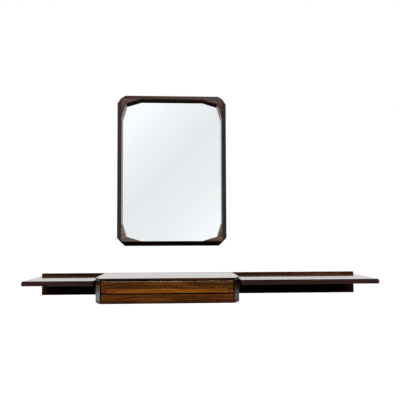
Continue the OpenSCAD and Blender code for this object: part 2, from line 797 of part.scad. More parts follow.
mirror_frame_top();
mirror_frame_bottom();
mirror_frame_left();
mirror_frame_right();
mitre_splines();
mirror_glass();
mirror_backing_board();
backing_brads();
hanger_plates();
hanger_screws();
wall_rail();
shelf_pins();
left_shelf_core();
left_front_lipping();
left_end_lipping();
left_shelf_veneer();
right_shelf_core();
right_front_lipping();
right_end_lipping();
right_shelf_veneer();
box_top_board();
box_top_veneer();
box_bottom_board();
box_left_side();
box_right_side();
left_corner_post();
right_corner_post();
box_back_panel();
box_screws();
carcass_dowels();
left_guide();
right_guide();
left_runner();
right_runner();
upper_drawer_stop();
lower_drawer_stop();
upper_drawer_panel();
upper_drawer_rail();
handle_lath();
lath_screws();
upper_drawer_left_side();
upper_drawer_right_side();
upper_drawer_back();
upper_drawer_bottom();
lower_drawer_front();
lower_drawer_left_side();
lower_drawer_right_side();
lower_drawer_back();
lower_drawer_bottom();
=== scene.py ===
# %% [markdown]
# # A bevelled wall mirror over a wall-hung console
# The real object is cabinet work in dark rosewood: a mirror in a faceted frame, and under it a long
# rail that carries a box with two drawers and two shelves, all with glossy lacquered tops. The
# construction is fixed by a CAD frame. Here every visible board is modelled again over its CAD
# solid, because real boards have eased arrises that catch the light, and razor-sharp solids look
# computed.

# %% The fixed frame
import math

import bpy
from mathutils import Matrix, Vector


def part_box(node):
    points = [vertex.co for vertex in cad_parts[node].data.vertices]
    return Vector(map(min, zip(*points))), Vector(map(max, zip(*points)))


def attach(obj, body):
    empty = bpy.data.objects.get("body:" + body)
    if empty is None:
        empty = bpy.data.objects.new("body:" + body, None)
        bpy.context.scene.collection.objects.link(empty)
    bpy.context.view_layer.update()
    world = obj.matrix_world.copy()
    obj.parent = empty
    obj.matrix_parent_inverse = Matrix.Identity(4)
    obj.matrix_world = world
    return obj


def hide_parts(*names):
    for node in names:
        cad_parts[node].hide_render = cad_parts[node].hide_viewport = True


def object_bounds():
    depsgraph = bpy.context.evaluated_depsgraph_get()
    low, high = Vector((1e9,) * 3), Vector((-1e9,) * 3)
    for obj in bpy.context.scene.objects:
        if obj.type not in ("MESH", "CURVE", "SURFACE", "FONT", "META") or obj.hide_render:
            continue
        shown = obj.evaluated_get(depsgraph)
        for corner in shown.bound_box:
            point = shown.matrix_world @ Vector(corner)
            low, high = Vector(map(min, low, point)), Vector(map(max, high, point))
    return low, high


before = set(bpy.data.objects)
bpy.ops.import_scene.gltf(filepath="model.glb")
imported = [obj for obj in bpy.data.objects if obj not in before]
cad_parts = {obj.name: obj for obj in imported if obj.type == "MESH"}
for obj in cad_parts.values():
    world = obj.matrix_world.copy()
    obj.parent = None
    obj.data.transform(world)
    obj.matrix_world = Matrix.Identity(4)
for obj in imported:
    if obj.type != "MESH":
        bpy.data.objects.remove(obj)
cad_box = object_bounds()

cad_size = cad_box[1] - cad_box[0]
print("pieces in the frame:", len(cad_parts), "size:", [round(v, 4) for v in cad_size])

# %% [markdown]
# ## The camera
# It stands in front of the console, a little to the right of the mirror's left edge, and looks
# slightly up. It could be placed by eye, but then every length drifts a little. Here the known
# sizes were fitted to the edges in the square picture, which gives the place, the turn, the lens
# and the small upward shift together. The last three values are counted in points of the picture.

# %% The camera
MM = 0.001
SENSOR = 36.0
eye = Vector((51.0, -2766.2, 261.6)) * MM
turned_right = math.radians(2.79)
tilted_up = math.radians(2.43)
rolled = math.radians(-0.20)
picture_width = 400
focal_length = 460.6
centre_row = 219.45

lens_data = bpy.data.cameras.new("camera")
lens_data.sensor_width = SENSOR
lens_data.lens = focal_length / picture_width * SENSOR
lens_data.shift_y = centre_row / picture_width - 0.5
camera = bpy.data.objects.new("camera", lens_data)
bpy.context.scene.collection.objects.link(camera)
aim = Matrix.Rotation(-turned_right, 4, "Z") @ Matrix.Rotation(math.pi / 2 + tilted_up, 4, "X")
camera.matrix_world = Matrix.Translation(eye) @ aim @ Matrix.Rotation(rolled, 4, "Z")
bpy.context.scene.camera = camera
print("lens", round(lens_data.lens, 2), "mm")

# %% [markdown]
# ## Tools of the bench
# A board could be typed in as a list of corners, but nobody thinks of wood that way. Each board
# here starts as a block of its own size, taken from the frame. Then it is sawn along planes and has
# parts of it moved. These helpers do each of those jobs with Blender's own operators, in the order
# in which one would do them by hand.

# %% Choosing and selecting
CLOSE = 1e-5  # metres, for two lengths that are the same but for rounding


def only(*pieces):
    """Leaves object mode as the mode, and these pieces as all that is selected."""
    if bpy.context.object and bpy.context.object.mode != "OBJECT":
        bpy.ops.object.mode_set(mode="OBJECT")
    bpy.ops.object.select_all(action="DESELECT")
    for piece in pieces:
        piece.select_set(True)
    bpy.context.view_layer.objects.active = pieces[0]


def edit_all(piece):
    """Goes into edit mode with the whole piece selected."""
    only(piece)
    bpy.ops.object.mode_set(mode="EDIT")
    bpy.ops.mesh.select_all(action="SELECT")


def choose(piece, mode, fits):
    """Goes into edit mode with only the elements selected for which fits(element) is true."""
    only(piece)
    bpy.ops.object.mode_set(mode="EDIT")
    bpy.ops.mesh.select_mode(type=mode)
    bpy.ops.mesh.select_all(action="DESELECT")
    bpy.ops.object.mode_set(mode="OBJECT")
    elements = piece.data.vertices if mode == "VERT" else piece.data.polygons
    for element in elements:
        element.select = fits(element)
    bpy.ops.object.mode_set(mode="EDIT")


def near(a, b):
    """True for two lengths that are the same but for rounding."""
    return abs(a - b) < CLOSE


def faces_room(face):
    """True for a face that looks away from the wall."""
    return face.normal.y < -0.9


print("selecting tools ready")


# %% Blocks, saw and push
def block(name, low, high):
    """A sawn block between two corners, with its place in its mesh."""
    low, high = Vector(low), Vector(high)
    bpy.ops.object.select_all(action="DESELECT")
    bpy.ops.mesh.primitive_cube_add(size=1, location=(low + high) / 2, scale=high - low)
    piece = bpy.context.object
    piece.name = name
    bpy.ops.object.transform_apply(location=True, rotation=True, scale=True)
    return piece


def saw(piece, point, waste_side):
    """Saws along the plane through point, and drops what lies on the side that waste_side points to."""
    edit_all(piece)
    across = Vector(waste_side).normalized()
    bpy.ops.mesh.bisect(plane_co=point, plane_no=across, use_fill=True, clear_outer=True)
    bpy.ops.object.mode_set(mode="OBJECT")


def score(piece, point, across):
    """Scores a line of new edges round the piece without removing anything."""
    edit_all(piece)
    bpy.ops.mesh.bisect(plane_co=point, plane_no=across)
    bpy.ops.object.mode_set(mode="OBJECT")


def push(piece, fits, offset):
    """Moves the corners for which fits(place) is true."""
    choose(piece, "VERT", lambda corner: fits(corner.co))
    bpy.ops.transform.translate(value=offset)
    bpy.ops.object.mode_set(mode="OBJECT")


print("shaping tools ready")

# %% [markdown]
# ## Carving, easing and finishing
# Holes and recesses could be built face by face. A boolean with a cutter is nearer to what a chisel
# does, and it stays right when a size changes. The arrises are eased with a bevel, as sandpaper
# does, and weighted normals keep the broad faces flat in the shading. At the end each piece gets
# its finish and the body that it moves with, and the CAD nodes that it stands for are hidden.

# %% Carving, easing and finishing
OVERCUT = 0.01  # metres by which a cutter stands out past what it cuts
SMOOTH_BELOW = 50  # degrees between two faces that are shaded as one


def carve(piece, cutter):
    """Takes the cutter's shape out of the piece."""
    only(piece)
    cut = piece.modifiers.new("Cut", "BOOLEAN")
    cut.object = cutter
    cut.solver = "EXACT"
    bpy.ops.object.modifier_apply(modifier=cut.name)
    bpy.data.objects.remove(cutter)


def ease(piece, width, steps=2, from_angle=25):
    """Rounds the arrises by width, and keeps the broad faces flat in the shading."""
    only(piece)
    arris = piece.modifiers.new("Arris", "BEVEL")
    arris.width = width
    arris.segments = steps
    arris.limit_method = "ANGLE"
    arris.angle_limit = math.radians(from_angle)
    bpy.ops.object.modifier_apply(modifier=arris.name)
    bpy.ops.object.shade_smooth_by_angle(angle=math.radians(SMOOTH_BELOW))
    flat = piece.modifiers.new("Flat faces", "WEIGHTED_NORMAL")
    flat.keep_sharp = True
    bpy.ops.object.modifier_apply(modifier=flat.name)


def copy_of(piece, name):
    """A copy with a mesh of its own."""
    twin = piece.copy()
    twin.data = piece.data.copy()
    twin.name = name
    bpy.context.scene.collection.objects.link(twin)
    return twin


def finish(piece, material, slot, body, *nodes):
    """Gives the piece its material and its body, and hides the CAD nodes that it stands for."""
    piece.data.name = piece.name
    piece.data.materials.clear()
    piece.data.materials.append(material)
    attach(piece, body)
    if nodes:
        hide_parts(*nodes)
    return piece


print("finishing tools ready")

# %% [markdown]
# ## Colours and node helpers
# A material is a small net of nodes. Joined one by one in full, every net takes a page, so short
# calls add a node, set its sockets or join them. Colours are written as the eye reads them in the
# picture, from 0 to 255, and turned into the linear values that the shader works with.

# %% Colours and node helpers
def tone(red, green, blue):
    """A linear colour from values of 0 to 255."""
    steps = [value / 255 for value in (red, green, blue)]
    return [s / 12.92 if s <= 0.04045 else ((s + 0.055) / 1.055) ** 2.4 for s in steps] + [1.0]


class NodeBench:
    """A net of nodes that short calls add to and join."""

    def __init__(self, tree):
        self.tree = tree

    def feed(self, socket, value):
        """Joins a socket to another one, or sets it to a plain value."""
        if isinstance(value, bpy.types.NodeSocket):
            self.tree.links.new(value, socket)
        else:
            socket.default_value = value

    def node(self, kind, settings=None, **inputs):
        """Adds a node. The names of its sockets have _ for a space."""
        made = self.tree.nodes.new("ShaderNode" + kind)
        for key, value in (settings or {}).items():
            setattr(made, key, value)
        for key, value in inputs.items():
            self.feed(made.inputs[key.replace("_", " ")], value)
        return made

    def math(self, operation, *values, kind="Math"):
        made = self.node(kind, {"operation": operation})
        for socket, value in zip(made.inputs, values):
            self.feed(socket, value)
        return made.outputs[0]

    def ramp(self, factor, stops):
        """A colour ramp from (place, colour) stops."""
        made = self.node("ValToRGB", Fac=factor)
        elements = made.color_ramp.elements
        while len(elements) < len(stops):
            elements.new(0.5)
        for element, (place, colour) in zip(elements, stops):
            element.position = place
            element.color = colour
        return made.outputs["Color"]

    def mix(self, factor, first, second, blend="MIX"):
        """Mixes two colours, which a Mix node takes at its sockets 6 and 7."""
        made = self.node("Mix", {"data_type": "RGBA", "blend_type": blend})
        for place, value in ((0, factor), (6, first), (7, second)):
            self.feed(made.inputs[place], value)
        return made.outputs[2]


class Recipe(NodeBench):
    """The nodes of one material."""

    def __init__(self, name):
        self.material = bpy.data.materials.new(name)
        self.material.use_nodes = True
        super().__init__(self.material.node_tree)
        self.shader = self.tree.nodes["Principled BSDF"]

    def surface(self, **inputs):
        """Sets or joins the shader's own sockets."""
        for key, value in inputs.items():
            self.feed(self.shader.inputs[key.replace("_", " ")], value)
        return self.material


print("dark rosewood in linear light:", [round(v, 3) for v in tone(52, 38, 34)])

# %% [markdown]
# ## Rosewood and its relatives
# Sawn wood is a bundle of long fibres. A photograph of a board would give its pattern too, but it
# repeats and shows its seams, so the pattern is noise that is stretched along the grain: about a
# quarter of a metre along for every few millimetres across. A slow wander bends the lines, soft
# clouds vary the tone, and a second, much finer noise makes the open pores, which also dent the
# surface a little. The grain follows the length of each board, so that a species exists once for
# each direction that it is used in.

# %% The recipe of wood
AXES = {"X": 0, "Y": 1, "Z": 2}
FIBRES, CLOUDS, PORES = (3.6, 75), (1.2, 4), (28, 700)  # noise scales along and across the grain
WANDER, BEND = 2.6, 0.05  # the scale of the wander, and how far it bends the lines, in metres
FIRST_TONE, TONE_STEP = 0.35, 0.095  # where the darkest tone lies in the noise, and the steps from it
PORE_TINT, PORE_ROUGH, DENT = 0.45, 0.15, 0.25


def drawn_out(recipe, place, grain, scales, figure=1.0):
    """Places for a noise that is drawn out along the grain. The two scales are along and across."""
    along, across = scales
    stretch = [across * figure] * 3
    stretch[AXES[grain]] = along * figure
    return recipe.node("Mapping", Vector=place, Scale=stretch).outputs[0]


def wood(name, grain, tones, figure=1.0, pore_depth=1.0, roughness=0.45, specular=0.5):
    """A species, with its dark to light tones, for boards whose length runs along one axis."""
    r = Recipe(f"{name}_{grain.lower()}")
    place = r.node("TexCoord").outputs["Object"]
    wander = r.node("TexNoise", Vector=place, Scale=WANDER, Detail=2.0).outputs["Color"]
    centred = r.math("SUBTRACT", wander, (0.5, 0.5, 0.5), kind="VectorMath")
    bent = r.math("MULTIPLY_ADD", centred, (BEND, BEND, BEND), place, kind="VectorMath")

    fibres = drawn_out(r, bent, grain, FIBRES, figure)
    growth = r.node("TexNoise", Vector=fibres, Scale=1.0, Detail=6.0, Roughness=0.62, Distortion=0.3)
    lines = growth.outputs["Fac"]
    body = r.ramp(lines, [(FIRST_TONE + TONE_STEP * i, colour) for i, colour in enumerate(tones)])
    cloud = drawn_out(r, place, grain, CLOUDS)
    patch = r.node("TexNoise", Vector=cloud, Scale=1.0, Detail=3.0).outputs["Fac"]
    shade = r.ramp(patch, [(0.30, [0.72, 0.70, 0.68, 1]), (0.70, [1.22, 1.20, 1.18, 1])])
    shaded = r.mix(1.0, body, shade, "MULTIPLY")

    hair = drawn_out(r, bent, grain, PORES)
    pores = r.node("TexNoise", Vector=hair, Scale=1.0, Detail=2.0, Roughness=0.5).outputs["Fac"]
    pit = r.ramp(pores, [(0.52, [0, 0, 0, 1]), (0.68, [1, 1, 1, 1])])
    colour = r.mix(r.math("MULTIPLY", pit, PORE_TINT * pore_depth), shaded, tones[0])
    rough = r.math("ADD", roughness - 0.05, r.math("MULTIPLY", pit, PORE_ROUGH))
    height = r.math("SUBTRACT", r.math("MULTIPLY", lines, 0.4), pit)
    dent = r.node("Bump", Strength=DENT * pore_depth, Distance=0.0003, Height=height).outputs[0]
    return r.surface(Base_Color=colour, Roughness=rough, Normal=dent, Specular_IOR_Level=specular)


print("scales of the fibres, along and across:", FIBRES)

# %% [markdown]
# ### The woods of the mirror, the rail and the shelves
# Satin rosewood is the main one. The rail and the faces that look down, under the frame, have
# hardly any gloss. The kites in the frame's corners have lighter tones, which are painted sheen and
# light, lightest at the lower left and darkest at the top, and the lippings are redder. Each
# could have a pattern of its own, but all of them use the one recipe with other tones, because the
# same fibres everywhere make the pieces one suite.

# %% The woods of the mirror, the rail and the shelves
rosewood_tones = [tone(22, 11, 9), tone(38, 21, 17), tone(52, 30, 24), tone(68, 43, 33)]
rosewood_x = wood("rosewood", "X", rosewood_tones, roughness=0.3)
rosewood_y = wood("rosewood", "Y", rosewood_tones, roughness=0.3)
rosewood_z = wood("rosewood", "Z", rosewood_tones, roughness=0.3)
matte_x = wood("matte_rosewood", "X", rosewood_tones, specular=0.003, roughness=0.5)
edging_tones = [tone(26, 9, 8), tone(44, 17, 15), tone(60, 27, 23), tone(80, 42, 36)]
edging_x = wood("edging_rosewood", "X", edging_tones, specular=0.22, roughness=0.3)
edging_y = wood("edging_rosewood", "Y", edging_tones, specular=0.22, roughness=0.3)
# The kites' lighter tones are painted sheen and light: lightest at the lower left, darkest at the top.
KITE_LIGHT_TONES = {
    "upper": [tone(56, 38, 30), tone(78, 56, 47), tone(94, 69, 59), tone(112, 85, 73)],
    "low_left": [tone(96, 78, 65), tone(126, 106, 91), tone(148, 126, 110), tone(166, 147, 130)],
    "low_right": [tone(76, 60, 49), tone(102, 84, 70), tone(122, 102, 87), tone(140, 121, 105)],
}
lit_kite_woods = []
for place, tones in KITE_LIGHT_TONES.items():
    lit_kite_woods.append(wood(f"{place}_facet", "X", tones, specular=0.3, roughness=0.3))
rail_tones = [tone(36, 17, 8), tone(57, 29, 14), tone(75, 43, 23), tone(96, 61, 34)]
rail_wood = wood("rail_rosewood", "X", rail_tones, specular=0.003, roughness=0.5)
top_tones = [tone(30, 16, 11), tone(46, 27, 20), tone(60, 37, 28), tone(78, 51, 38)]
glossy_top = wood("top_veneer", "X", top_tones, specular=0.5, roughness=0.1, pore_depth=0.1)
print("woods so far:", len([m for m in bpy.data.materials if m.name.endswith(("_x", "_y", "_z"))]))

# %% [markdown]
# ### The woods of the box and its drawers
# The box has darker boards round warm brown fronts, and the lath on the upper drawer is a light
# orange wood. The panel's upper arris has a pale wood, a painted highlight. The left post has lighter
# tones than the right one, painted light and painted shade. Inside, the drawers are plain beech,
# whose pores hardly show.

# %% The woods of the box and its drawers
# The left post's lighter tones are painted light, and the right post's darker ones painted shade.
lit_post_tones = [tone(42, 23, 13), tone(60, 37, 23), tone(76, 51, 34), tone(90, 65, 46)]
post_tones = [tone(20, 9, 5), tone(30, 16, 9), tone(40, 24, 14), tone(52, 34, 22)]
lit_and_shaded_post_woods = {
    "left": wood("lit_post_rosewood", "Z", lit_post_tones, roughness=0.27),
    "right": wood("shaded_post_rosewood", "Z", post_tones, roughness=0.27),
}
edge_tones = [tone(24, 10, 4), tone(38, 19, 8), tone(54, 29, 13), tone(70, 41, 20)]
edge_wood = wood("edge_rosewood", "X", edge_tones, specular=0.12, roughness=0.35)
base_tones = [tone(44, 18, 6), tone(68, 32, 10), tone(88, 46, 16), tone(108, 64, 28)]
base_wood = wood("base_rosewood", "X", base_tones, specular=0.12, roughness=0.35)
front_tones = [tone(65, 31, 2), tone(88, 47, 4), tone(109, 63, 9), tone(132, 82, 19)]
front_veneer = wood("front_veneer", "X", front_tones, specular=0.2, roughness=0.3)
low_front_tones = [tone(74, 33, 4), tone(100, 51, 9), tone(124, 69, 16), tone(148, 90, 28)]
low_front_veneer = wood("low_front_veneer", "X", low_front_tones, specular=0.2, roughness=0.3)
# A pale wood for the panel's upper arris: a painted highlight along the drawer's top edge.
highlight_arris_tones = [tone(150, 120, 96), tone(176, 148, 122), tone(196, 172, 148), tone(214, 194, 172)]
painted_highlight_arris = wood("painted_highlight_arris", "X", highlight_arris_tones, specular=0.4, roughness=0.3)
foot_rail_tones = [tone(88, 38, 8), tone(118, 60, 14), tone(142, 78, 22), tone(160, 96, 34)]
foot_rail_wood = wood("foot_rail_rosewood", "X", foot_rail_tones, specular=0.2, roughness=0.3)
lath_tones = [tone(122, 63, 8), tone(150, 84, 15), tone(167, 99, 23), tone(186, 120, 40)]
lath_wood = wood("lath_wood", "X", lath_tones, specular=0.2, roughness=0.35, pore_depth=0.6)
lining_tones = [tone(168, 132, 92), tone(190, 154, 112), tone(204, 172, 130), tone(216, 188, 150)]
lining_x, lining_y, lining_z = [
    wood("lining_wood", grain, lining_tones, figure=0.8, pore_depth=0.35, specular=0.3, roughness=0.55)
    for grain in AXES
]
print("woods:", len([m for m in bpy.data.materials if m.name.endswith(("_x", "_y", "_z"))]))

# %% [markdown]
# ## Board, glass and metal
# The backs and drawer bottoms are hardboard, a felt of brown fibres. The mirror could be a clear
# sheet over a sheet of metal, but one perfectly smooth metal shows the same and has no inner edges
# to go wrong. The screws and plates are zinc and blackened steel, whose roughness is blotched.

# %% Hardboard, silvering and steel
def hardboard():
    r = Recipe("hardboard")
    place = r.node("TexCoord").outputs["Object"]
    felt = r.node("TexNoise", Vector=place, Scale=320.0, Detail=5.0, Roughness=0.7).outputs["Fac"]
    cloud = r.node("TexNoise", Vector=place, Scale=12.0, Detail=3.0).outputs["Fac"]
    both = r.math("ADD", r.math("MULTIPLY", felt, 0.7), r.math("MULTIPLY", cloud, 0.3))
    colour = r.ramp(both, [(0.36, tone(98, 72, 48)), (0.5, tone(126, 95, 65)), (0.64, tone(150, 118, 84))])
    dent = r.node("Bump", Strength=0.3, Distance=0.0003, Height=felt)
    return r.surface(Base_Color=colour, Roughness=0.75, Normal=dent.outputs[0], Specular_IOR_Level=0.25)


def silvering():
    r = Recipe("silvered_glass")
    place = r.node("TexCoord").outputs["Object"]
    haze = r.node("TexNoise", Vector=place, Scale=5.0, Detail=5.0, Roughness=0.6).outputs["Fac"]
    colour = r.ramp(haze, [(0.35, tone(246, 251, 255)), (0.65, tone(249, 253, 255))])
    return r.surface(Base_Color=colour, Metallic=1.0, Roughness=0.0)


def metal(name, dark, light, roughness):
    r = Recipe(name)
    place = r.node("TexCoord").outputs["Object"]
    blotch = r.node("TexNoise", Vector=place, Scale=260.0, Detail=4.0, Roughness=0.6).outputs["Fac"]
    colour = r.ramp(blotch, [(0.35, dark), (0.65, light)])
    rough = r.math("ADD", roughness - 0.1, r.math("MULTIPLY", blotch, 0.2))
    return r.surface(Base_Color=colour, Metallic=1.0, Roughness=rough)


brown_board = hardboard()
silver = silvering()
zinc = metal("zinc_steel", tone(140, 141, 143), tone(172, 173, 174), 0.38)
dark_steel = metal("dark_steel", tone(16, 12, 9), tone(34, 27, 21), 0.45)
print("finishes:", len(bpy.data.materials))

# %% [markdown]
# ## The mirror frame
# The frame is a ring of four mitred members. From the outer edge a slope climbs to a sharp ridge,
# and inside the ridge a wall drops straight back to the glass. The opening has twelve sides, which
# leaves a flat kite in each corner, and the outer corners are sawn off. Four members could be
# modelled one by one, but their slopes would have to meet exactly. A joiner shapes the whole ring,
# and so does this cell: one block is shaped, and later each member is sawn out of a copy along its
# mitres.

# %% The ring of the mirror frame
band_depth, slope_width = 22 * MM, 27 * MM
opening_inset = 28 * MM
corner_cut, kite_leg, kite_inset = 47 * MM, 112 * MM, 26 * MM
left_box, right_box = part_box("mirror_frame_left"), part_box("mirror_frame_right")
bottom_box, top_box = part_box("mirror_frame_bottom"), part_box("mirror_frame_top")
frame_low = Vector((left_box[0].x, top_box[0].y, bottom_box[0].z))
frame_high = Vector((right_box[1].x, 0, top_box[1].z))
middle = (frame_low + frame_high) / 2
half_w, half_h = (frame_high.x - frame_low.x) / 2, (frame_high.z - frame_low.z) / 2
ridge_y = frame_low.y

ring = block("frame_ring", frame_low, frame_high)
choose(ring, "FACE", faces_room)
bpy.ops.mesh.inset(thickness=slope_width)
bpy.ops.object.mode_set(mode="OBJECT")


def on_outer_edge(p):
    """True for a corner of the front face that lies on the frame's outer edge."""
    at_side = near(abs(p.x - middle.x), half_w)
    at_top_or_foot = near(abs(p.z - middle.z), half_h)
    return near(p.y, ridge_y) and (at_side or at_top_or_foot)


push(ring, on_outer_edge, (0, -ridge_y - band_depth, 0))
CORNERS = [(-1, 1), (1, 1), (1, -1), (-1, -1)]
for sx, sz in CORNERS:
    saw(ring, middle + Vector((sx * (half_w - corner_cut), 0, sz * half_h)), (sx, 0, sz))
print("ring:", len(ring.data.vertices), "corners")

# %% [markdown]
# The opening and the rebate behind it are carved out. Their outlines are drawn once, for one
# corner, and repeated at the other three, so that they can't come out unequal.

# %% The opening and the rebate behind it
def prism(name, outline, front, back):
    """A straight-sided slab with its outline drawn on the wall: a disc whose rim points are placed."""
    bpy.ops.object.select_all(action="DESELECT")
    bpy.ops.mesh.primitive_circle_add(vertices=len(outline), radius=1, fill_type="NGON")
    piece = bpy.context.object
    piece.name = name
    for corner, (x, z) in zip(piece.data.vertices, outline):
        corner.co = (x, front, z)
    edit_all(piece)
    bpy.ops.mesh.extrude_region_move(TRANSFORM_OT_translate={"value": (0, back - front, 0)})
    bpy.ops.mesh.select_all(action="SELECT")
    bpy.ops.mesh.normals_make_consistent(inside=False)
    bpy.ops.object.mode_set(mode="OBJECT")
    return piece


def at_four_corners(points):
    """Repeats one corner's points, measured from the frame's middle, round all four corners."""
    outline = []
    for sx, sz in CORNERS:
        run = points[::-1] if sx * sz > 0 else points
        outline += [(middle.x + sx * x, middle.z + sz * z) for x, z in run]
    return outline


open_w, open_h = half_w - opening_inset, half_h - opening_inset
opening = at_four_corners(
    [(open_w, open_h - kite_leg), (open_w - kite_inset, open_h - kite_inset), (open_w - kite_leg, open_h)]
)
glass_low, glass_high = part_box("mirror_glass")
play, sheet_cut = 1 * MM, 27 * MM
sheet_w, sheet_h = (glass_high.x - glass_low.x) / 2 + play, (glass_high.z - glass_low.z) / 2 + play


def sheet_outline(grow):
    """The rebate's outline, or with a negative value a sheet's that is smaller all round."""
    w, h = sheet_w + grow, sheet_h + grow
    return at_four_corners([(w, h - sheet_cut), (w - sheet_cut, h)])


carve(ring, prism("opening_cutter", opening, ridge_y - OVERCUT, OVERCUT))
carve(ring, prism("rebate_cutter", sheet_outline(0), glass_low.y, OVERCUT))
print("ring with its opening:", len(ring.data.vertices), "corners")

# %% [markdown]
# At the back of the top member two steel plates are let in, flush with the wood. Each has a hole
# over a hollow, which takes the peg in the wall. The recess is a hair larger than its plate, as a
# chiselled one is.

# %% Recesses for the hanger plates
plate_l, plate_room = 48 * MM, 0.15 * MM
hollow_w, hollow_h, hollow_d = 22 * MM, 10 * MM, 12 * MM


def let_in_plates(member):
    """Cuts a recess for each hanger plate, and the hollow behind its hole."""
    plates_low, plates_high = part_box("hanger_plates")
    for x0 in (plates_low.x, plates_high.x - plate_l):
        low = Vector((x0 - plate_room, plates_low.y, plates_low.z - plate_room))
        high = Vector((x0 + plate_l + plate_room, OVERCUT, plates_high.z + plate_room))
        carve(member, block("plate_recess", low, high))
        centre = Vector((x0 + plate_l / 2, 0, (plates_low.z + plates_high.z) / 2))
        low = centre - Vector((hollow_w / 2, hollow_d, hollow_h / 2))
        high = centre + Vector((hollow_w / 2, OVERCUT, hollow_h / 2))
        carve(member, block("hanger_hollow", low, high))


print("hanger plates:", round(plate_l, 3), "m long")

# %% [markdown]
# The kites get lighter woods, whose tones are painted sheen and light, and the faces that look down
# get the matte wood. They could be separate pieces of veneer, but on the real frame they are the same
# board, so only the faces' material changes. Each mitre is a saw cut from a corner of the frame, and a
# line is scored where the kite begins, so that the long faces divide cleanly.

# %% The four members
MEMBERS = {
    "top": ([(-1, 1), (1, 1)], [(-1, -1), (1, -1)], rosewood_x),
    "bottom": ([(-1, -1), (1, -1)], [(-1, 1), (1, 1)], matte_x),
    "left": ([(-1, 1), (-1, -1)], [(1, 1), (1, -1)], rosewood_z),
    "right": ([(1, 1), (1, -1)], [(-1, 1), (-1, -1)], rosewood_z),
}
UPPER_KITE, LEFT_KITE, RIGHT_KITE, UNDERSIDE = 1, 2, 3, 4
least_kite_area = 4e-4  # square metres


def face_woods(member, side):
    """Gives the kites their woods with painted sheen and light, and the faces under the top member the
    matte one.
    """
    for face_wood in (*lit_kite_woods, matte_x):
        member.data.materials.append(face_wood)
    for face in member.data.polygons:
        is_flat = face.normal.y < -0.98 and near(face.center.y, ridge_y)
        if is_flat and face.area > least_kite_area:
            low_kite = LEFT_KITE if face.center.x < middle.x else RIGHT_KITE
            face.material_index = UPPER_KITE if face.center.z > middle.z else low_kite
        if side == "top" and face.normal.z < -0.9:
            face.material_index = UNDERSIDE


for side, (corners, wastes, material) in MEMBERS.items():
    member = copy_of(ring, f"frame_member_{side}")
    for (sx, sz), (wx, wz) in zip(corners, wastes):
        saw(member, middle + Vector((sx * half_w, 0, sz * half_h)), (wx, 0, wz))
        if side in ("left", "right"):
            score(member, middle + Vector((0, 0, sz * (open_h - kite_leg))), (0, 0, 1))
        else:
            score(member, middle + Vector((sx * (open_w - kite_leg), 0, 0)), (1, 0, 0))
    ease(member, 0.7 * MM, from_angle=10)
    if side == "top":
        let_in_plates(member)
    finish(member, material, "rosewood", "root", f"mirror_frame_{side}")
    face_woods(member, side)
    print(member.name, len(member.data.polygons), "faces")
bpy.data.objects.remove(ring)

# %% [markdown]
# ## The glass
# A sheet of silvered glass lies in the rebate, with a little play all round. Its outline is the
# rebate's, so it is drawn with the same helper. Its arris is seamed, which is how glass is made
# safe to handle.

# %% The glass
glass = prism("mirror_sheet", sheet_outline(-play), glass_low.y, glass_high.y)
ease(glass, 0.5 * MM, steps=1)
finish(glass, silver, "silvered_glass", "root", "mirror_glass")
print("glass", [round(v, 3) for v in glass_high - glass_low])

# %% [markdown]
# ## Plain boards
# Most of the other boards are straight: a block of the solid's own size with eased arrises. A list
# of nodes does for all of them what would otherwise be written a dozen times. Soft drawer wood is
# rounded more than veneered board, because hands touch it.

# %% Plain boards
def plain_board(node, material, slot, body="root", arris=0.6 * MM, steps=2):
    piece = block("board_" + node, *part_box(node))
    ease(piece, arris, steps)
    return finish(piece, material, slot, body, node)


for side in ("left", "right"):
    plain_board(f"{side}_shelf_core", rosewood_x, "rosewood", arris=0.3 * MM)
    plain_board(f"{side}_shelf_veneer", glossy_top, "top_veneer", arris=0.35 * MM)
    plain_board(f"box_{side}_side", rosewood_y, "rosewood", arris=0.3 * MM)
    plain_board(f"{side}_guide", lining_y, "lining_wood")
    plain_board(f"{side}_runner", lining_y, "lining_wood", arris=1.0 * MM)
for level in ("upper", "lower"):
    body = f"{level}_drawer"
    for part in ("left_side", "right_side"):
        plain_board(f"{body}_{part}", lining_y, "lining_wood", body, arris=1.5 * MM, steps=3)
    plain_board(f"{body}_back", lining_x, "lining_wood", body, arris=1.2 * MM, steps=3)

# %% [markdown]
# ## The wall rail
# One long board carries everything. Four stepped holes let the wall screws through, and their heads
# sink in. Each hole is bored twice, narrow all the way and wide a little way, because that is how a
# counterbore is made.

# %% The wall rail
rail_low, rail_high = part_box("wall_rail")
rail = block("long_rail", rail_low, rail_high)
ease(rail, 1.0 * MM, steps=3)
hole_z = rail_low.z + 32 * MM
hole_r, sink_r, sink_d = 2.75 * MM, 5.5 * MM, 4 * MM
hole_xs = []
for centre, spacing in ((-561.5 * MM, 240 * MM), (746.5 * MM, 560 * MM)):
    hole_xs += [centre - spacing / 2, centre + spacing / 2]


def rod(name, place, radius, front, back):
    """A round bar along Y between two depths."""
    bpy.ops.object.select_all(action="DESELECT")
    bpy.ops.mesh.primitive_cylinder_add(
        vertices=32,
        radius=radius,
        depth=back - front,
        location=(place[0], (front + back) / 2, place[1]),
        rotation=(math.pi / 2, 0, 0),
    )
    piece = bpy.context.object
    piece.name = name
    bpy.ops.object.transform_apply(location=True, rotation=True, scale=True)
    return piece


for x in hole_xs:
    carve(rail, rod("hole", (x, hole_z), hole_r, rail_low.y - OVERCUT, OVERCUT))
    carve(rail, rod("sinking", (x, hole_z), sink_r, rail_low.y - OVERCUT, rail_low.y + sink_d))
finish(rail, rail_wood, "rail_rosewood", "root", "wall_rail")
print("rail", round(rail_high.x - rail_low.x, 3), "m long")

# %% [markdown]
# ## The nosed lippings
# Each shelf is edged with solid rosewood, planed to a blunt nose below its middle. The nose could
# be a bevel, but its two facets have different widths. So a block is scored at the height of the
# nose, and its top and bottom edges are pushed back by their own amounts. The two lippings of a
# shelf meet in a mitre.

